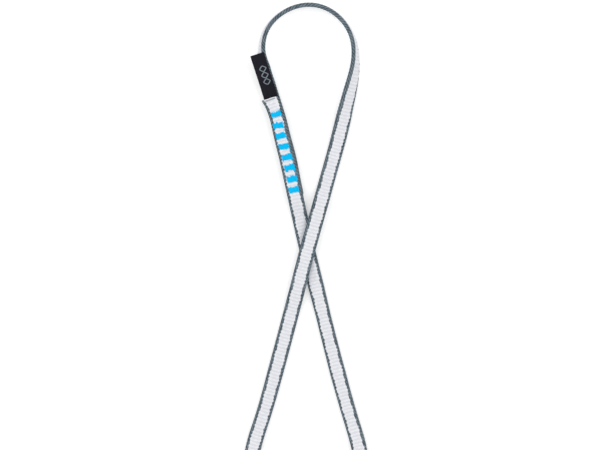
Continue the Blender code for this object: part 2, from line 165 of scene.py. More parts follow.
def strap_frame(along):
    """For each distance: the line's point, its way, the strap's left and the way out of its upper face.
    Left is level and square to the way, turned by the roll about it. Past an end the line runs straight."""
    at = np.clip(along, 0, STRAP_LENGTH)
    way = np.stack([np.interp(at, line_along, line_ways[:, i]) for i in range(3)], -1)
    way /= np.linalg.norm(way, axis=-1)[..., None]
    point = np.stack([np.interp(at, line_along, line_points[:, i]) for i in range(3)], -1)
    point += way * (along - at)[..., None]
    level = np.cross((0, 0, 1), way)
    level /= np.linalg.norm(level, axis=-1)[..., None]
    up = np.cross(way, level)
    roll = np.interp(at, line_along, line_roll)[..., None]
    return point, way, level * np.cos(roll) + up * np.sin(roll), up * np.cos(roll) - level * np.sin(roll)


# The webbing's body. It is a flat tape of white high-modulus polyethylene yarn, woven so that each
# pick of the weft raises a rib across it. Its two ends are cut and melted, which leaves a smooth,
# slightly flared and bowed lip with a groove behind it.
PICK = 0.0018
STATION_STEP = 0.0003
RIB_HEIGHT = 0.00017
RIB_FLATNESS = 0.7
RIB_WANDER = 0.10
RIB_WANDER_LENGTH = 0.03
RIB_FULLNESS = (0.6, 1.1)
FULLNESS_COLUMNS = 24
WAVE_SINES = 5
WAVE_SPREAD = (0.6, 1.8)
BODY_INSET = 0.00006
BODY_EDGE_INSET = 0.00025
WARP_END = 0.00066
WARP_STAGGER = 0.07
WARP_STAGGER_TURN = 2.4
RIBBED_HALF_WIDTH = 0.0029
FACE_TOLERANCE = 0.00005
CORE_MIDDLE = -0.0002
CORE_HALF_WIDTH = 0.00255
CORE_MARGIN = 0.7
CORE_MARGIN_SINK = 0.00016
# The rib hollows' painted shade: full within this half width of the core's middle, and this share outside it
SHADED_HALF_WIDTH = 0.00185
OUTER_PAINTED_SHADE_SHARE = 0.25
FACE_COLUMNS = 18
EDGE_COLUMNS = 2
END_ZONE = 0.0022
END_STATIONS = 34
MELT_LENGTH = 0.0012
FLARE_LENGTH = 0.0022
FLARE_SHARES = (0.13, 0.02)
MELT_BOW = 0.00055
CORNER_REACH = 0.0009
MELT_LIP = 0.00010
LIP_LENGTH = 0.00036
GROOVE_PLACE = 0.00050
GROOVE_WIDTH = 0.00015
GROOVE_DEPTH = 0.00095
GROOVE_HALF_WIDTH = 0.0028
GROOVE_LEVEL_SHARE = 0.8
# How much painted shade darkens the groove behind each cut end
GROOVE_PAINTED_SHADE = 5.0
WAIST_SHARE = 0.055
WAIST_PLACE = 0.0085
WAIST_LENGTH = 0.0055
NARROW_PLACES = (0.100, 0.115, 0.134, 0.147, 0.154, 0.173, 0.183, 0.294,
                 0.303, 0.312, 0.330, 0.420, 0.432, 0.440, 0.455, 0.475)
NARROW_SHARES = (0, 0.060, 0.040, 0.010, 0.035, 0.050, 0.020, 0.012,
                 0.029, 0.026, 0, 0, 0.022, 0.024, 0.011, 0)
UPRIGHT_LEANS = np.radians((30, 60))
BARTACK_COUNT = 8
FIRST_BARTACK = 0.0083
BARTACK_PITCH = 0.0057
PINCH_DEPTH = 0.00015
PINCH_LENGTH = 0.0021
WHITE_YARN = (0.90, 0.905, 0.935)
WHITE_YARN_SHADE = (0.57, 0.595, 0.66)
MM = 1000
waviness = np.random.default_rng(7)


def section_at(around, half_width, half_thickness, corner):
    """A rounded rectangle's points and outward normals at distances round it, from the middle of its
    left side and up over its top: an inner rectangle, pushed out by the corner radius."""
    inner_x, inner_y = half_width - corner, half_thickness - corner
    quarter = np.pi / 2 * corner
    breaks = np.cumsum([0, inner_y, quarter, 2 * inner_x, quarter, 2 * inner_y, quarter, 2 * inner_x,
                        quarter, inner_y])
    around = np.mod(around, breaks[-1])
    x = np.interp(around, breaks, inner_x * np.array((1, 1, 1, -1, -1, -1, -1, 1, 1, 1)))
    y = np.interp(around, breaks, inner_y * np.array((0, 1, 1, 1, 1, -1, -1, -1, -1, 0)))
    turn = np.interp(around, breaks, np.pi / 2 * np.array((0, 0, 1, 1, 2, 2, 3, 3, 4, 4)))
    return x + corner * np.cos(turn), y + corner * np.sin(turn), np.cos(turn), np.sin(turn)


def woven_mesh(name, points, faces, places, painted_shade_and_tone):
    """A smooth piece from points and faces. places gives each face corner its place in the map of the
    weave, in millimetres, and the last argument gives each point's painted shade, with the selvedges'
    random tone added to it."""
    mesh = bpy.data.meshes.new(name)
    mesh.from_pydata(points.reshape(-1, 3), [], faces)
    mesh.uv_layers.new(name="weave").uv.foreach_set("vector", places.astype(np.float32).ravel())
    mesh.attributes.new("painted_shade_and_tone", "FLOAT", "POINT").data.foreach_set("value", painted_shade_and_tone.astype(np.float32).ravel())
    mesh.shade_smooth()
    made = bpy.data.objects.new(name, mesh)
    bpy.context.scene.collection.objects.link(made)
    return made


def ring_mesh(name, rings, across, along, painted_shade_and_tone):
    """A solid from rings of points, one ring after another. Each ring is closed, and the strips across
    the first and last rings close the ends. across and along, in millimetres, become the map of the
    weave, with one column more than the rings have."""
    count, size = rings.shape[:2]
    row, column = np.meshgrid(np.arange(count - 1), np.arange(size), indexing="ij")
    rows = np.stack((row, row, row + 1, row + 1), -1).reshape(-1, 4)
    columns = np.stack((column, column + 1, column + 1, column), -1).reshape(-1, 4)
    rung = np.arange(size // 2 - 1)
    start_columns = np.stack((size - 1 - rung, size - 2 - rung, rung + 1, rung), -1)
    rows = np.concatenate((rows, np.zeros_like(start_columns), np.full_like(start_columns, count - 1)))
    columns = np.concatenate((columns, start_columns, start_columns[:, ::-1]))
    places = np.stack((across[rows, columns], along[rows, columns]), -1)
    return woven_mesh(name, rings, (rows * size + columns % size).tolist(), places, painted_shade_and_tone)


def slow_wave(along, size, length):
    """An uneven but repeatable wander: the mean of some sines of about that length, with lengths and
    phases drawn once."""
    lengths = length * waviness.uniform(*WAVE_SPREAD, WAVE_SINES)
    phases = waviness.uniform(0, 2 * np.pi, WAVE_SINES)
    return size * np.sin(2 * np.pi * along[..., None] / lengths + phases).mean(-1)


def on_strap(along, left, up):
    """Points at distances along the strap, offset to its left and out of its upper face. Where the
    strap leans on its lower edge both its edges stand upright and its middle leans more: with s from
    -1 at the lower edge to 1 at the upper one, it turns by (3s^2 - 1) / 2 and bulges by s^3 - s."""
    point, way, left_way, up_way = strap_frame(along)
    roll = np.interp(along, line_along, line_roll)
    lean = np.minimum(np.abs(roll), np.pi / 2)
    upright = np.cos(lean) * ease(lean, *UPRIGHT_LEANS)
    share = 2 * np.sign(roll) * left / STRAP_WIDTH
    turn = np.sign(roll) * upright * (1.5 * share ** 2 - 0.5)
    bulge = STRAP_WIDTH / 4 * upright * (share ** 3 - share)
    leftward = left - up * np.sin(turn)
    outward_by = bulge + up * np.cos(turn)
    return point + left_way * leftward[..., None] + up_way * outward_by[..., None]


station_count = round((STRAP_LENGTH - 2 * END_ZONE) / STATION_STEP) + 1
stations = np.concatenate((np.linspace(0, END_ZONE, END_STATIONS)[:-1],
                           np.linspace(END_ZONE, STRAP_LENGTH - END_ZONE, station_count),
                           np.linspace(STRAP_LENGTH - END_ZONE, STRAP_LENGTH, END_STATIONS)[1:]))
from_end = np.minimum(stations, STRAP_LENGTH - stations)
melted = 1 - ease(from_end, 0, MELT_LENGTH)
grooved = np.exp(-((from_end - GROOVE_PLACE) / GROOVE_WIDTH) ** 2)

# The bartacks' places on the upper layer, and beside them on the lower one
bartacks_above = FIRST_BARTACK + BARTACK_PITCH * np.arange(BARTACK_COUNT)
over_lap = strap_frame(bartacks_above)[0]
to_lower = np.hypot(line_x[:, None] - over_lap[:, 0], line_y[:, None] - over_lap[:, 1])
to_lower[line_along < STRAP_LENGTH - 2 * LAP_LENGTH] = np.inf
bartacks_below = line_along[np.argmin(to_lower, axis=0)]


def width_change(left):
    """How far the tape's points move sideways. A cut end flares, mostly at its right corner. Behind it
    the first stitches draw the tape in to a waist, a bell curve of the distance. Along the legs the
    core is slightly narrower in places, which carries both edges inwards."""
    flare = left * np.where(left < 0, *FLARE_SHARES) * (1 - ease(from_end, 0, FLARE_LENGTH))[:, None]
    waist = WAIST_SHARE * np.exp(-((stations - WAIST_PLACE) / WAIST_LENGTH) ** 2)[:, None]
    narrow = STRAP_WIDTH / 2 * np.interp(stations, NARROW_PLACES, NARROW_SHARES)[:, None]
    return flare - waist * left - narrow * np.clip(left / CORE_HALF_WIDTH, -1, 1)


def melt_shape(share):
    """How far a melted end reaches out, and how high its lip stands. With s from -1 at the right edge to
    1 at the left one, it bows out by 1 - s^2, and its right half also reaches out by s^2. The lip is a
    bell curve of the distance from the end."""
    side = np.where(stations < STRAP_LENGTH / 2, -1, 1)[:, None]
    reach = MELT_BOW * (1 - share ** 2) + CORNER_REACH * np.clip(-share, 0, 1) ** 2
    lip = MELT_LIP * np.exp(-(from_end / LIP_LENGTH) ** 2)
    return side * melted[:, None] ** 2 * reach, lip[:, None]


def pinch(up):
    """Stitching draws the webbing in: a flat-bottomed dip under each bartack, on the outer faces only.
    It falls off as a bell curve of the distance's square."""
    near = [np.exp(-((stations[:, None] - places) / PINCH_LENGTH) ** 4).sum(1)[:, None]
            for places in (bartacks_above, bartacks_below)]
    return PINCH_DEPTH * np.where(up > 0, near[0], near[1])


def make_body():
    """The body's height over its plain section: ribs as the size of a cosine of the distance along, to a
    power below one, each column of warp a little out of step with the next. The core's margins are sunk
    under the selvedges, and the end's groove is a bell curve of the distance. Painted shade darkens the
    hollows between ribs, mostly in the core's middle, and the groove."""
    half_width = STRAP_WIDTH / 2 - BODY_EDGE_INSET
    half_thickness = STRAP_THICKNESS / 2 - BODY_INSET
    corner = STRAP_CORNER - BODY_INSET
    to_face = (half_thickness - corner) + np.pi / 2 * corner + (half_width - corner - RIBBED_HALF_WIDTH)
    half_round = 2 * (to_face + RIBBED_HALF_WIDTH)
    edge = (np.arange(EDGE_COLUMNS) + 0.5) / EDGE_COLUMNS * to_face
    face = to_face + np.linspace(0, 2 * RIBBED_HALF_WIDTH, FACE_COLUMNS)
    top = np.concatenate((edge, face, half_round - edge[::-1]))
    around = np.concatenate((top, 2 * half_round - top[::-1]))
    left, up, out_left, out_up = section_at(around, half_width, half_thickness, corner)
    column = np.round(left / WARP_END).astype(int)
    stagger = WARP_STAGGER * np.sin(column * WARP_STAGGER_TURN) * np.where(up > 0, 1, -1)
    phase = stations[:, None] / PICK + stagger + slow_wave(stations, RIB_WANDER, RIB_WANDER_LENGTH)[:, None]
    fullness = waviness.uniform(*RIB_FULLNESS, (int(STRAP_LENGTH / PICK) + 3, FULLNESS_COLUMNS))
    fullness = fullness[np.round(phase + 1).astype(int) % len(fullness), column % FULLNESS_COLUMNS]
    rib = np.abs(np.cos(np.pi * phase)) ** RIB_FLATNESS * fullness
    in_face = np.abs(left) < RIBBED_HALF_WIDTH + FACE_TOLERANCE
    woven = in_face * (1 - melted[:, None])
    from_middle = np.abs(left - CORE_MIDDLE)
    under_edge = ease(from_middle, CORE_HALF_WIDTH - WARP_END * CORE_MARGIN, CORE_HALF_WIDTH)
    height = RIB_HEIGHT * rib * woven * (1 - under_edge) - CORE_MARGIN_SINK * under_edge
    past_groove = ease(from_middle, GROOVE_LEVEL_SHARE * GROOVE_HALF_WIDTH, GROOVE_HALF_WIDTH)
    in_groove = grooved[:, None] * (1 - past_groove)
    bow, lip = melt_shape(left / half_width)
    height = height + (lip - GROOVE_DEPTH * in_groove - pinch(up)) * np.abs(out_up) * in_face
    rings = on_strap(stations[:, None] + bow, left + width_change(left) + out_left * height,
                     up + out_up * height)
    shaded = 1 - ease(from_middle, SHADED_HALF_WIDTH - WARP_END / 2, SHADED_HALF_WIDTH + WARP_END)
    painted_hollow_shade = 1 - (0.5 + 0.5 * np.cos(2 * np.pi * phase)) * fullness
    # Painted shade: the hollows between ribs, more in the core's middle, and the groove behind the cut ends
    # are darkened in colour
    painted_shade_and_tone = painted_hollow_shade * woven * (OUTER_PAINTED_SHADE_SHARE + (1 - OUTER_PAINTED_SHADE_SHARE) * shaded) + GROOVE_PAINTED_SHADE * in_groove
    across_mm = np.append(around, 2 * half_round + around[0]) * MM
    across_mm = np.broadcast_to(across_mm, (len(stations), len(across_mm)))
    along_mm = np.broadcast_to(stations[:, None] * MM, across_mm.shape)
    return ring_mesh("webbing_body", rings, across_mm, along_mm, painted_shade_and_tone)


webbing_body = make_body()

# The finish of the yarn, in numbers to the millimetre and shares of light and shade
FILAMENTS_ACROSS = 15.0
FILAMENTS_ALONG = 0.7
FILAMENT_DETAIL = 2.0
FILAMENT_SHADE = 0.45
FILAMENT_RELIEF = 0.3
CLOUD_SCALE = 0.55
CLOUD_DETAIL = 3.0
CLOUD_SHADE = 0.35
THREAD_FLATNESS = 0.5
BETWEEN_THREADS_SHADE = 0.45
SHADE_ROUGHNESS = 0.15


def node(tree, kind, **inputs):
    """Adds a shader node, setting each named input to a value or linking a socket to it. A name has
    underscores for spaces, and at_0, at_1 and so on are inputs by number."""
    made = tree.nodes.new(kind)
    for name, value in inputs.items():
        socket = made.inputs[int(name[3:]) if name.startswith("at_") else name.replace("_", " ")]
        if isinstance(value, bpy.types.NodeSocket):
            tree.links.new(value, socket)
        else:
            socket.default_value = value
    return made


def maths(tree, operation, *values):
    """A maths node's result."""
    made = node(tree, "ShaderNodeMath", **{f"at_{i}": value for i, value in enumerate(values)})
    made.operation = operation
    return made.outputs[0]


def weave_map(tree):
    """The place in the map of the weave, in millimetres across and along the threads."""
    place = tree.nodes.new("ShaderNodeUVMap")
    place.uv_map = "weave"
    return place.outputs["UV"]


def make_yarn_group():
    """The finish that all the sling's yarn shares, read from the map of the weave. Threads lie side by
    side, one every so many millimetres, each rounded like the root of half a sine. Filaments are noise
    drawn out along them, and clouds are broad noise; both vary the yarn's own tone. Painted shade
    mixes in the second colour at the points marked for it and in the gaps between threads, and the
    mix is rougher where it leans to that colour. The height is that of the filaments, lowered in the gaps."""
    group = bpy.data.node_groups.new("yarn", "ShaderNodeTree")
    given_sockets = (("Light", "Color"), ("Dark", "Color"), ("Depth", "Float"), ("Roughness", "Float"),
                     ("Lean", "Float"), ("Thread Width", "Float"), ("Thread Relief", "Float"))
    made_sockets = (("Colour", "Color"), ("Roughness", "Float"), ("Height", "Float"))
    for in_out, sockets in (("INPUT", given_sockets), ("OUTPUT", made_sockets)):
        for name, kind in sockets:
            group.interface.new_socket(name, in_out=in_out, socket_type="NodeSocket" + kind)
    given = group.nodes.new("NodeGroupInput").outputs
    place = weave_map(group)
    painted_shade_and_tone = group.nodes.new("ShaderNodeAttribute")
    painted_shade_and_tone.attribute_name = "painted_shade_and_tone"
    split = node(group, "ShaderNodeSeparateXYZ", Vector=place).outputs
    leaning = maths(group, "MULTIPLY_ADD", split["Y"], given["Lean"], split["X"])
    strands = node(group, "ShaderNodeCombineXYZ", X=maths(group, "MULTIPLY", leaning, FILAMENTS_ACROSS),
                   Y=maths(group, "MULTIPLY", split["Y"], FILAMENTS_ALONG)).outputs[0]
    filaments = node(group, "ShaderNodeTexNoise", Vector=strands, Scale=1.0, Detail=FILAMENT_DETAIL)
    filaments = filaments.outputs["Fac"]
    clouds = node(group, "ShaderNodeTexNoise", Vector=place, Scale=CLOUD_SCALE, Detail=CLOUD_DETAIL)
    clouds = clouds.outputs["Fac"]
    turn = maths(group, "MULTIPLY", maths(group, "DIVIDE", leaning, given["Thread Width"]), np.pi)
    half_sine = maths(group, "ABSOLUTE", maths(group, "SINE", turn))
    thread = maths(group, "POWER", half_sine, THREAD_FLATNESS)
    between = maths(group, "MULTIPLY", maths(group, "SUBTRACT", 1.0, thread), given["Thread Relief"])
    # The share of the second colour: painted shade at the marked points and in the gaps between threads, and
    # the yarn's own tone from clouds and filaments
    painted_shade_strength = maths(group, "MULTIPLY", painted_shade_and_tone.outputs["Fac"], given["Depth"])
    mottled_and_shaded = maths(group, "MULTIPLY_ADD", maths(group, "SUBTRACT", clouds, 0.5), CLOUD_SHADE, painted_shade_strength)
    streaked = maths(group, "MULTIPLY_ADD", maths(group, "SUBTRACT", 0.5, filaments), FILAMENT_SHADE, mottled_and_shaded)
    lined = maths(group, "MULTIPLY_ADD", between, BETWEEN_THREADS_SHADE, streaked)
    shade = node(group, "ShaderNodeClamp", Value=lined).outputs[0]
    # A mix of colours takes its share on its socket 0 and the two colours on 6 and 7
    colour = group.nodes.new("ShaderNodeMix")
    colour.data_type = "RGBA"
    for source, socket in ((shade, colour.inputs[0]), (given["Light"], colour.inputs[6]),
                           (given["Dark"], colour.inputs[7])):
        group.links.new(source, socket)
    rough = maths(group, "MULTIPLY_ADD", shade, SHADE_ROUGHNESS, given["Roughness"])
    height = maths(group, "MULTIPLY_ADD", filaments, FILAMENT_RELIEF, maths(group, "MULTIPLY", between, -1.0))
    out = group.nodes.new("NodeGroupOutput")
    for source, name in ((colour.outputs[2], "Colour"), (rough, "Roughness"), (height, "Height")):
        group.links.new(source, out.inputs[name])
    return group


yarn_group = make_yarn_group()


def yarn_material(name, light, dark, painted_shade_strength, roughness, lean, thread_width, thread_relief,
                  relief_height, gloss):
    """A woven finish: the shared yarn group with its own colours, strength of painted shade, thread size and
    lean. Widths are in millimetres of the map, and the bump's height is in metres."""
    material = bpy.data.materials.new(name)
    material.use_nodes = True
    tree = material.node_tree
    shader = tree.nodes["Principled BSDF"]
    yarn = tree.nodes.new("ShaderNodeGroup")
    yarn.node_tree = yarn_group
    for socket, value in (("Light", (*light, 1)), ("Dark", (*dark, 1)), ("Depth", painted_shade_strength),
                          ("Roughness", roughness), ("Lean", lean), ("Thread Width", thread_width),
                          ("Thread Relief", thread_relief)):
        yarn.inputs[socket].default_value = value
    bump = node(tree, "ShaderNodeBump", Height=yarn.outputs["Height"], Distance=relief_height, Strength=1.0)
    for source, name in ((yarn.outputs["Colour"], "Base Color"), (yarn.outputs["Roughness"], "Roughness"),
                         (bump.outputs["Normal"], "Normal")):
        tree.links.new(source, shader.inputs[name])
    shader.inputs["Specular IOR Level"].default_value = gloss
    material.diffuse_color = (*light, 1)
    return material


webbing_body.data.materials.append(yarn_material(
    "white_yarn", WHITE_YARN, WHITE_YARN_SHADE, painted_shade_strength=0.5, roughness=0.5, lean=0.0,
    thread_width=WARP_END * MM / 2, thread_relief=0.6, relief_height=0.00006, gloss=0.3))
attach(webbing_body, "sling")
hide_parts("webbing")

# The selvedges. The outer warp is grey polyamide yarn, woven in a steep twill that wraps round each
# edge of the tape, so its floats climb over the edge on a slant. The band is wider on the left, and
# where it meets the white yarn its border steps in and out with the floats, over a repeat of six picks.
LEFT_BAND = 0.00165
RIGHT_BAND = 0.00125
FLOAT_COLUMN = 0.00055
FLOAT_SHIFT = 1 / 3
FLOAT_HEIGHT = 0.00014
FLOAT_FLATNESS = 0.8
FLOAT_WANDER = 0.12
FLOAT_WANDER_LENGTH = 0.012
COLUMN_FLATNESS = 0.6
COLUMN_FOOT = 0.25
BASE_HEIGHT = -0.00004
FACE_LOWERED = 0.00008
BORDER_STEP = 0.00036
BORDER_REPEAT = {1: (0.04, -0.11, 0.17, 0.12, -0.08, -0.19, -0.03, -0.20, -0.06, -0.06, 0.20, 0.18),
                 -1: (0.33, 0.05, 0.01, -0.05, -0.01, -0.25, -0.24, 0.06, 0.21, -0.11, -0.13, 0.14)}
BORDER_REPEAT_SIZE = 0.00115
BORDER_WANDER = 0.00018
BORDER_WANDER_LENGTH = 0.008
BORDER_PLACES = (0, 0.004, 0.010, 0.016, 0.045, 0.055, 0.095,
                 0.145, 0.165, 0.300, 0.325, 0.385, 0.415, 0.440)
BORDER_CHANGES = {1: (-0.80, -0.90, -0.30, 0, 0, -0.18, -0.20,
                      -0.20, -0.02, -0.14, -0.18, -0.20, -0.07, 0),
                  -1: (0, 0.30, 0.50, 0, 0, 0.14, -0.10,
                       -0.08, -0.12, -0.08, 0.18, 0.20, -0.02, 0)}
BORDER_CHANGE_SIZE = 0.001
LEANING_BORDERS = {1: (0.0004, 0.4, 0.9), -1: (0.0012, 0.75, 1.25)}
BORDER_ROUNDED = 0.93
PINCHED_FROM = 0.7
# Painted shade in the valleys between floats, and each float's random tone
VALLEY_PAINTED_SHADE = 1.25
VALLEY_RISE = 1.3
VALLEY_COLUMN_SHARE = 0.3
FLOAT_UNEVENNESS = 0.45
SCATTER_TURNS = (12.9898, 78.233)
SCATTER_SIZE = 43758.5
SELVEDGE_SINK = 0.00014
SELVEDGE_ROOT = 0.00045
SELVEDGE_OUTER_COLUMNS = 36
SELVEDGE_INNER_COLUMNS = 6
GREY_YARN = (0.208, 0.260, 0.301)
GREY_YARN_SHADE = (0.019, 0.036, 0.047)


def border_at(side, band, share, turned):
    """How far round the edge the grey reaches. Its border steps out at each float, as a cosine, and at
    each half pick by the weave's repeat of six picks. It also wanders a little, the band is wider or
    narrower from one stretch to another, and where the strap leans it is narrower still."""
    to_border = (STRAP_THICKNESS / 2 - STRAP_CORNER) + np.pi / 2 * STRAP_CORNER + band - STRAP_CORNER
    wander = slow_wave(stations, BORDER_WANDER, BORDER_WANDER_LENGTH)[:, None]
    phase = turned + np.sign(share) * FLOAT_SHIFT * np.round(to_border / FLOAT_COLUMN)
    half_picks = len(BORDER_REPEAT[side])
    repeat = np.interp(2 * phase, np.arange(half_picks), BORDER_REPEAT[side], period=half_picks)
    border = to_border + wander + BORDER_REPEAT_SIZE * repeat
    border = border + BORDER_STEP / 2 * np.cos(2 * np.pi * phase)
    border = border + BORDER_CHANGE_SIZE * np.interp(stations, BORDER_PLACES, BORDER_CHANGES[side])[:, None]
    narrower, from_lean, to_lean = LEANING_BORDERS[side]
    lean = np.abs(np.interp(stations, line_along, line_roll))[:, None]
    return border - narrower * ease(lean, from_lean, to_lean)


def make_selvedge(name, side, band):
    """A strip that wraps one edge. Over the section stand floats, a flattened cosine across each column
    times one along, whose phase slips by a third of a pick from each column to the next. Painted shade
    darkens the valleys between floats, and each float's tone is darker or lighter than the next, by the
    fraction that is left of a large sine of its place."""
    turned = stations[:, None] / PICK
    outer = np.linspace(-1, 1, SELVEDGE_OUTER_COLUMNS)
    inner = np.linspace(1, -1, SELVEDGE_INNER_COLUMNS)
    share = np.concatenate((outer, inner))
    is_outer = np.arange(len(share)) < SELVEDGE_OUTER_COLUMNS
    round_edge = share * border_at(side, band, share, turned)
    column = round_edge / FLOAT_COLUMN
    wander = slow_wave(stations, FLOAT_WANDER, FLOAT_WANDER_LENGTH)[:, None]
    float_phase = turned + FLOAT_SHIFT * np.round(column) + wander
    along_float = np.abs(np.cos(np.pi * float_phase))
    column_top = np.abs(np.cos(np.pi * column)) ** COLUMN_FLATNESS
    raised = along_float ** FLOAT_FLATNESS * (COLUMN_FOOT + (1 - COLUMN_FOOT) * column_top)
    height = BASE_HEIGHT + FLOAT_HEIGHT * raised * (1 - melted[:, None])
    at_border = ease(np.abs(share), BORDER_ROUNDED, 1)
    height = height * (1 - at_border) - SELVEDGE_SINK * at_border
    height = np.where(is_outer, height, -SELVEDGE_ROOT)
    left, up, out_left, out_up = section_at(round_edge, STRAP_WIDTH / 2, STRAP_THICKNESS / 2, STRAP_CORNER)
    left, out_left = side * left, side * out_left
    bow, lip = melt_shape(left / (STRAP_WIDTH / 2))
    pinched = pinch(up) * ease(np.abs(share), PINCHED_FROM, 1)
    height = height + (lip - pinched - FACE_LOWERED) * np.abs(out_up) * is_outer
    rings = on_strap(stations[:, None] + bow, left + width_change(left) + out_left * height,
                     up + out_up * height)
    # Painted shade darkens the valleys between floats, less on the columns' tops, and each float gets a
    # random tone
    column_share = (1 - VALLEY_COLUMN_SHARE) + VALLEY_COLUMN_SHARE * column_top
    valley_shade_and_tone = np.clip(VALLEY_PAINTED_SHADE - VALLEY_RISE * along_float * column_share, 0, 1)
    turns = np.round(float_phase) * SCATTER_TURNS[0] + np.round(column) * SCATTER_TURNS[1]
    scattered = np.mod(np.sin(turns) * SCATTER_SIZE, 1)
    valley_shade_and_tone = valley_shade_and_tone + FLOAT_UNEVENNESS * (scattered - 0.5)
    across_mm = np.concatenate((round_edge, round_edge[:, :1]), 1) * MM
    along_mm = np.broadcast_to(stations[:, None] * MM, across_mm.shape)
    if side > 0:
        return ring_mesh(name, rings, across_mm, along_mm, valley_shade_and_tone)
    return ring_mesh(name, rings[:, ::-1], across_mm[:, ::-1], along_mm, valley_shade_and_tone[:, ::-1])


left_selvedge = make_selvedge("left_selvedge", 1, LEFT_BAND)
right_selvedge = make_selvedge("right_selvedge", -1, RIGHT_BAND)
grey_yarn = yarn_material(
    "grey_yarn", GREY_YARN, GREY_YARN_SHADE, painted_shade_strength=1.0, roughness=0.6, lean=0.15,
    thread_width=FLOAT_COLUMN * MM / 2, thread_relief=0.35, relief_height=0.00005, gloss=0.2)
for selvedge in (left_selvedge, right_selvedge):
    selvedge.data.materials.append(grey_yarn)
    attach(selvedge, "sling")

# The bartacks. Each is a bar of bright blue polyester thread, sewn in a dense zigzag through both
# layers: the stitches lie along the strap, side by side across it, and their ends are ragged. A bar
# shows on the upper face and again on the face that lies on the table.
BARTACK_WIDTH = 0.0052
BARTACK_MIDDLE = -0.0001
BARTACK_LENGTHS = (0.0035, 0.0035, 0.0037, 0.0034, 0.0041, 0.0039, 0.0038, 0.0035)
BARTACK_SHIFTS = (0.0002, -0.0004, -0.0002, 0, 0.0003, 0.0004, 0.0004, 0.0001)
BARTACK_SLANTS = (0.14, 0.03, 0, 0, 0, 0, 0, -0.03)
THREAD_TAILS = (0, 0.0012, 0.0006, 0.0013, 0.0017, 0.0018, 0.0004, 0)
TAIL_ASIDE = 0.00025
TAIL_RISES_BY = 0.15
TAIL_DIVES_FROM = 0.8
THREAD_RADIUS = 0.00015
THREAD_SIDES = 7
SLANTING_WAY = (0.31, 0.17, 0.93)
STITCH_COUNT = 27
STITCH_POINTS = 9
STITCH_HEIGHTS = {1: 0.00008, -1: -0.00003}
STITCH_FLATNESS = 0.3
STITCH_DIVE = 0.00050
STITCH_PLAY = 0.00004
RAGGED_END = 0.00054
END_DRIFT = 0.00014
DRIFT_TURN = (2, 6)
DRIFT_START = (0, 6)
BLUE_THREAD = (0.0, 0.605, 1.0)
BLUE_THREAD_SHADE = (0.0, 0.50, 1.0)
stitching = np.random.default_rng(21)


def thread_mesh(name, paths, radius, flatness=1):
    """Threads as tubes: at each point of a path stands a ring square to it, pressed flat by the given
    share. It starts square to one slanting way too, which no thread follows. The tubes are one piece
    with closed ends. The map of the weave runs round and along them in millimetres, and their lower
    sides are marked for painted shade."""
    count, length = paths.shape[:2]
    size = THREAD_SIDES
    way = np.gradient(paths, axis=1)
    way /= np.linalg.norm(way, axis=2)[..., None]
    side = np.cross(way, SLANTING_WAY)
    side /= np.linalg.norm(side, axis=2)[..., None]
    out = np.cross(side, way)
    turn = np.linspace(0, 2 * np.pi, size, endpoint=False)
    rounds = side[:, :, None] * np.cos(turn)[:, None] + flatness * out[:, :, None] * np.sin(turn)[:, None]
    rings = paths[:, :, None] + radius * rounds
    tube, row, column = np.meshgrid(np.arange(count), np.arange(length - 1), np.arange(size), indexing="ij")
    corners = np.stack(((row, column), (row, column + 1), (row + 1, column + 1), (row + 1, column)), -1)
    corners = np.moveaxis(corners, 0, -1).reshape(-1, 4, 2)
    base = np.broadcast_to(tube[..., None] * length * size, tube.shape + (4,)).reshape(-1, 4)
    faces = (base + corners[..., 0] * size + corners[..., 1] % size).tolist()
    starts = np.arange(count)[:, None] * length * size
    faces += (starts + np.arange(size)[::-1]).tolist()
    faces += (starts + (length - 1) * size + np.arange(size)).tolist()
    travelled = np.cumsum(np.linalg.norm(np.diff(paths, axis=1, prepend=paths[:, :1]), axis=2), axis=1)
    around_mm = corners[..., 1] / size * 2 * np.pi * radius * MM
    along_mm = travelled[base // (length * size), corners[..., 0]] * MM
    side_places = np.stack((around_mm, along_mm), -1).reshape(-1, 2)
    places = np.concatenate((side_places, np.zeros((2 * count * size, 2))))
    # Painted shade marks the threads' lower sides
    return woven_mesh(name, rings, faces, places, 0.5 - 0.5 * rounds[..., 2])


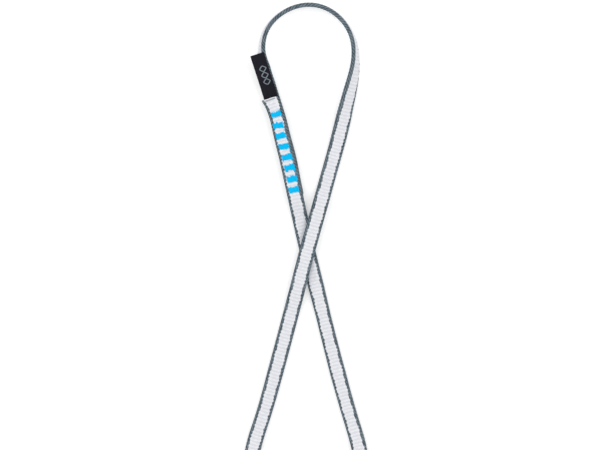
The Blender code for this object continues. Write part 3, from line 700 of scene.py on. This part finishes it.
def stitch_path(middle, sideways, length, slant, face, tail):
    """One bar's thread: a zigzag whose turns dive into the webbing, drawn as one path. Across it steps
    evenly, along it runs from one ragged end to the other, and its height is a flat-topped sine. A
    slanted bar runs on as it steps. The loose tail lies on past the last turn and dives in at its end,
    and a thread without a tail stays under."""
    turns = np.arange(STITCH_COUNT + 1)
    ends = length / 2 * np.where(turns % 2, 1, -1)
    ends = ends + stitching.uniform(-RAGGED_END, RAGGED_END, len(turns))
    drift = turns / STITCH_COUNT * stitching.uniform(*DRIFT_TURN) + stitching.uniform(*DRIFT_START)
    ends = ends + END_DRIFT * np.sin(drift)
    across = (turns / STITCH_COUNT - 0.5) * BARTACK_WIDTH
    across = across + stitching.uniform(-STITCH_PLAY, STITCH_PLAY, len(turns))
    share = np.linspace(0, 1, STITCH_POINTS, endpoint=False)
    run = (ends[:-1, None] + np.diff(ends)[:, None] * share).ravel()
    step = (across[:-1, None] + np.diff(across)[:, None] * share ** 2).ravel()
    sunk = STITCH_DIVE * (1 - np.sin(np.pi * share) ** STITCH_FLATNESS)
    rise = (stitching.uniform(-STITCH_PLAY, STITCH_PLAY, STITCH_COUNT)[:, None] - sunk).ravel()
    tail_share = np.linspace(0, 1, STITCH_POINTS)
    on_top = ease(tail_share, 0, TAIL_RISES_BY) * (1 - ease(tail_share, TAIL_DIVES_FROM, 1)) * (tail > 0)
    run = np.append(run, ends[-1] + tail_share * tail)
    step = np.append(step, across[-1] - TAIL_ASIDE * tail_share)
    rise = np.append(rise, STITCH_DIVE * (on_top - 1))
    height = STRAP_THICKNESS / 2 + STITCH_HEIGHTS[face] + rise
    return on_strap(middle + run + slant * step, BARTACK_MIDDLE + sideways + step, face * height)


blue_thread = yarn_material(
    "blue_thread", BLUE_THREAD, BLUE_THREAD_SHADE, painted_shade_strength=0.4, roughness=0.4, lean=0.7,
    thread_width=0.314, thread_relief=0.6, relief_height=0.00006, gloss=0.06)
bars = zip(bartacks_above, bartacks_below, BARTACK_LENGTHS, BARTACK_SHIFTS, BARTACK_SLANTS, THREAD_TAILS)
for number, (above, below, length, shift, slant, tail) in enumerate(bars, 1):
    paths = np.stack((stitch_path(above, shift, length, slant, 1, tail),
                      stitch_path(below, shift, length, slant, -1, 0)))
    bartack = thread_mesh(f"blue_bartack_{number}", paths, THREAD_RADIUS)
    bartack.data.materials.append(blue_thread)
    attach(bartack, "sling")
    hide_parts(f"bartack_{number}")

# The label. It is a strip of black woven tape folded in two: its ends are sewn into the lap under the
# first bartack, and its fold is the free end of a flag that lies over the webbing's edge.
LABEL_WIDTH = 0.0073
LABEL_SHIFT = 0.00015
LABEL_PLY = 0.00018
LABEL_PLY_GAP = 0.00004
LABEL_ACROSS_COUNT = 20
LABEL_ALONG_STEP = 0.0003
LABEL_EDGE_NEAR = 0.0001
LABEL_STATION_NEAR = 0.0002
LABEL_EDGE_POWER = 60
LABEL_EDGE_THINNEST = 0.05
SMOOTHED_STATIONS = 13
FOLD_REACH = 0.00025
FOLD_POINTS = 9
TAPE_WARP_MM = 0.34
TAPE_WEFT_MM = 0.30
TAPE_RELIEF = 0.00003
MARK_COUNT = 3
MARK_FIRST = 0.0082
MARK_PITCH = 0.0034
MARK_HALF_SIZE = (0.00175, 0.00150)
MARK_SIDEWAYS = 0.00075
MARK_LINE_RADIUS = 0.00029
MARK_FLATNESS = 0.4
MARK_POINTS = 33
MARK_OVERLAP = 0.15
MARK_POWER = 1.15
BLACK_TAPE = (0.0115, 0.0110, 0.0175)
BLACK_TAPE_SHADE = (0.040, 0.040, 0.052)
MARK_YARN = (0.24, 0.29, 0.32)
MARK_YARN_SHADE = (0.12, 0.15, 0.17)
hinge = frame["joints"][0]
hinge_point, hinge_way = np.array(hinge["pos_m"]), np.array(hinge["axis"])
label_way = np.cross((0, 0, 1), hinge_way)


def label_heights():
    """The label's middle, read from the plain label: how far each of its stations is from the hinge
    along the label, to a hundredth of a millimetre, and how high its middle is there, to a thousandth,
    as the means of the edge's points that are close."""
    stations_found = []
    for name in ("label_tail", "label_flag"):
        points = np.array([vertex.co for vertex in frame["nodes"][name].data.vertices])
        reach = (points - hinge_point) @ label_way
        from_edge = np.abs(np.abs((points - hinge_point) @ hinge_way) - LABEL_WIDTH / 2)
        at_edge = from_edge < LABEL_EDGE_NEAR
        for place in np.unique(np.round(reach[at_edge], 5)):
            close = at_edge & (np.abs(reach - place) < LABEL_STATION_NEAR)
            stations_found.append((reach[close].mean(), points[close, 2].mean()))
    found = np.array(sorted(set((round(a, 5), round(b, 6)) for a, b in stations_found)))
    return found[:, 0], found[:, 1]


def on_label(sideways, reach, height):
    """Points given along the hinge, out from it along the label, and up from the table."""
    return (hinge_point * (1, 1, 0) + hinge_way * sideways[..., None] + label_way * reach[..., None]
            + np.array((0, 0, 1)) * height[..., None])


def make_label():
    """A strip carried along a hairpin: out along the upper ply, round the fold and back along the
    lower one. Its middle is the plain label's, smoothed by a bell of weights, and its fold reaches a
    little further. Its thickness falls off at both edges as the root of 1 - s^60, with s the share
    across."""
    reach, height = label_heights()
    label_reach = reach[-1] + FOLD_REACH - reach[0]
    even = reach[0] + np.linspace(0, label_reach, round(label_reach / LABEL_ALONG_STEP) + 1)
    bell = np.hanning(SMOOTHED_STATIONS) / np.hanning(SMOOTHED_STATIONS).sum()
    middle = np.pad(np.interp(even, reach, height), SMOOTHED_STATIONS // 2, mode="edge")
    middle = np.convolve(middle, bell, mode="valid")
    tilt = np.arctan(np.gradient(middle, even))
    half_gap = (LABEL_PLY + LABEL_PLY_GAP) / 2
    turn = np.linspace(np.pi / 2, -np.pi / 2, FOLD_POINTS)[1:-1] + tilt[-1]
    out_reach = np.concatenate((even - half_gap * np.sin(tilt), even[-1] + half_gap * np.cos(turn),
                                (even + half_gap * np.sin(tilt))[::-1]))
    out_height = np.concatenate((middle + half_gap * np.cos(tilt), middle[-1] + half_gap * np.sin(turn),
                                 (middle - half_gap * np.cos(tilt))[::-1]))
    way_reach, way_height = np.gradient(out_reach), np.gradient(out_height)
    size = np.hypot(way_reach, way_height)
    out_normal = np.stack((-way_height / size, way_reach / size), -1)
    travelled = np.concatenate(([0], np.cumsum(np.hypot(np.diff(out_reach), np.diff(out_height)))))
    across = np.linspace(-LABEL_WIDTH / 2, LABEL_WIDTH / 2, LABEL_ACROSS_COUNT)
    ring_across = np.concatenate((across, across[::-1]))
    ring_out = np.concatenate((np.ones(LABEL_ACROSS_COUNT), -np.ones(LABEL_ACROSS_COUNT)))
    full = np.clip(1 - (np.abs(ring_across) / (LABEL_WIDTH / 2)) ** LABEL_EDGE_POWER, LABEL_EDGE_THINNEST, 1)
    lift = ring_out * LABEL_PLY / 2 * np.sqrt(full)
    rings = on_label(ring_across + LABEL_SHIFT, out_reach[:, None] + out_normal[:, :1] * lift,
                     out_height[:, None] + out_normal[:, 1:] * lift)
    columns = np.append(ring_across, ring_across[0]) * MM
    across_mm = np.broadcast_to(columns, (len(rings), len(columns)))
    along_mm = np.broadcast_to(travelled[:, None] * MM, across_mm.shape)
    return ring_mesh("woven_label", rings[:, ::-1], across_mm[:, ::-1], along_mm, np.zeros(rings.shape[:2]))


def make_mark():
    """A row of lozenges in raised yarn, each one thread laid round a rounded diamond on the upper ply:
    the shares across and along, each to the power of 1.15, add up to one."""
    reach, height = label_heights()
    turn = np.linspace(-MARK_OVERLAP, 2 * np.pi + MARK_OVERLAP, MARK_POINTS)
    out = np.abs(np.cos(turn)) ** MARK_POWER + np.abs(np.sin(turn)) ** MARK_POWER
    out = 1 / out ** (1 / MARK_POWER)
    middles = MARK_FIRST + MARK_PITCH * np.arange(MARK_COUNT)[:, None]
    reaches = middles + MARK_HALF_SIZE[1] * out * np.sin(turn)
    sideways = MARK_HALF_SIZE[0] * out * np.cos(turn) + MARK_SIDEWAYS + np.zeros_like(reaches)
    heights = np.interp(reaches, reach, height) + LABEL_PLY + LABEL_PLY_GAP / 2
    paths = on_label(sideways, reaches, heights)
    return thread_mesh("label_lozenges", paths, MARK_LINE_RADIUS, MARK_FLATNESS)


def tape_material():
    """Black tape in plain weave: the shared yarn group, with a fine square weave, the product of two
    sines of the map, added to its bump."""
    material = yarn_material(
        "black_tape", BLACK_TAPE, BLACK_TAPE_SHADE, painted_shade_strength=0.0, roughness=0.75, lean=0.0,
        thread_width=0.2, thread_relief=0.5, relief_height=0.00001, gloss=0.1)
    tree = material.node_tree
    normal = tree.nodes["Principled BSDF"].inputs["Normal"]
    split = node(tree, "ShaderNodeSeparateXYZ", Vector=weave_map(tree)).outputs
    warp = maths(tree, "SINE", maths(tree, "MULTIPLY", split["X"], 2 * np.pi / TAPE_WARP_MM))
    weft = maths(tree, "SINE", maths(tree, "MULTIPLY", split["Y"], 2 * np.pi / TAPE_WEFT_MM))
    relief = maths(tree, "MULTIPLY", warp, weft)
    yarn_bump = normal.links[0].from_node.outputs[0]
    bump = node(tree, "ShaderNodeBump", Height=relief, Distance=TAPE_RELIEF, Strength=1.0, Normal=yarn_bump)
    tree.links.new(bump.outputs["Normal"], normal)
    return material


woven_label = make_label()
woven_label.data.materials.append(tape_material())
label_mark = make_mark()
label_mark.data.materials.append(yarn_material(
    "mark_yarn", MARK_YARN, MARK_YARN_SHADE, painted_shade_strength=0.2, roughness=0.6, lean=0.5,
    thread_width=0.2, thread_relief=0.6, relief_height=0.00005, gloss=0.2))
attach(label_mark, "flag")
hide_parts("label_tail", "label_flag")
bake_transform(woven_label)

# The strap is one length of flat webbing. Its points, evenly spaced along the line, are worked out here
# and not used. It leaves the lap at the upper layer's cut end and comes back into the lap as the lower layer.
CORD_POINTS = 260
cord_places = np.linspace(0, STRAP_LENGTH, CORD_POINTS)
strap_frame(cord_places)[0].tolist()

# The table, the lamps and the camera. The table is plain and pale, and white to the camera apart from
# the sling's soft shadow. The camera looks straight down from where the photograph was taken.
FLOOR_SIZE = 6.0
FLOOR_DROP = 0.00022
FLOOR_COLOUR = (0.85, 0.85, 0.85)
FLOOR_ROUGHNESS = 0.9
FLOOR_GLOW = 0.38
SKY_STRENGTH = 0.68
LAMP_SIZE = 1.6
LAMP_PLACES = ((-1.25, 0.35, 1.35), (1.25, 0.25, 1.35))
LAMP_POWER = 9.5
CAMERA_HEIGHT = 2.2
VIEW_CENTRE = (-0.0006, 0.0186)
VIEW_WIDTH = 0.31476
SENSOR_WIDTH = 36.0


def seen_directly(tree):
    """1 for a ray from the camera, or one that gloss or glass has passed on, and 0 for all others."""
    rays = tree.nodes.new("ShaderNodeLightPath").outputs
    return maths(tree, "MAXIMUM", maths(tree, "MAXIMUM", rays["Is Camera Ray"], rays["Is Glossy Ray"]),
                 rays["Is Transmission Ray"])


bpy.ops.mesh.primitive_plane_add(size=FLOOR_SIZE, location=(0, 0, -FLOOR_DROP))
floor = bpy.context.object
floor.name = "table_top"
floor_material = bpy.data.materials.new("pale_table")
floor_material.use_nodes = True
tree = floor_material.node_tree
base = tree.nodes["Principled BSDF"]
base.inputs["Base Color"].default_value = (*FLOOR_COLOUR, 1)
base.inputs["Roughness"].default_value = FLOOR_ROUGHNESS
base.inputs["Specular IOR Level"].default_value = 0.0
base.inputs["Emission Color"].default_value = (1, 1, 1, 1)
tree.links.new(maths(tree, "MULTIPLY", seen_directly(tree), FLOOR_GLOW), base.inputs["Emission Strength"])
floor.data.materials.append(floor_material)

# The sky is even and dimmer than white, and white where it is seen directly
world = bpy.data.worlds.new("soft_studio")
bpy.context.scene.world = world
world.use_nodes = True
tree = world.node_tree
sky = tree.nodes["Background"]
sky.inputs["Color"].default_value = (1, 1, 1, 1)
brightness = maths(tree, "MULTIPLY_ADD", seen_directly(tree), 1 - SKY_STRENGTH, SKY_STRENGTH)
tree.links.new(brightness, sky.inputs["Strength"])

lamp_data = bpy.data.lights.new("soft_box", "AREA")
lamp_data.size = LAMP_SIZE
lamp_data.energy = LAMP_POWER
for place in LAMP_PLACES:
    lamp = bpy.data.objects.new("soft_box", lamp_data)
    bpy.context.scene.collection.objects.link(lamp)
    lamp.location = place
    lamp.rotation_mode = "QUATERNION"
    lamp.rotation_quaternion = (-lamp.location).to_track_quat("-Z", "Y")

camera_data = bpy.data.cameras.new("camera")
camera_data.sensor_width = SENSOR_WIDTH
camera_data.lens = SENSOR_WIDTH * CAMERA_HEIGHT / VIEW_WIDTH
camera = bpy.data.objects.new("camera", camera_data)
bpy.context.scene.collection.objects.link(camera)
camera.location = (*VIEW_CENTRE, CAMERA_HEIGHT)
bpy.context.scene.camera = camera
bpy.context.scene.view_settings.view_transform = "Standard"

bpy.context.view_layer.update()
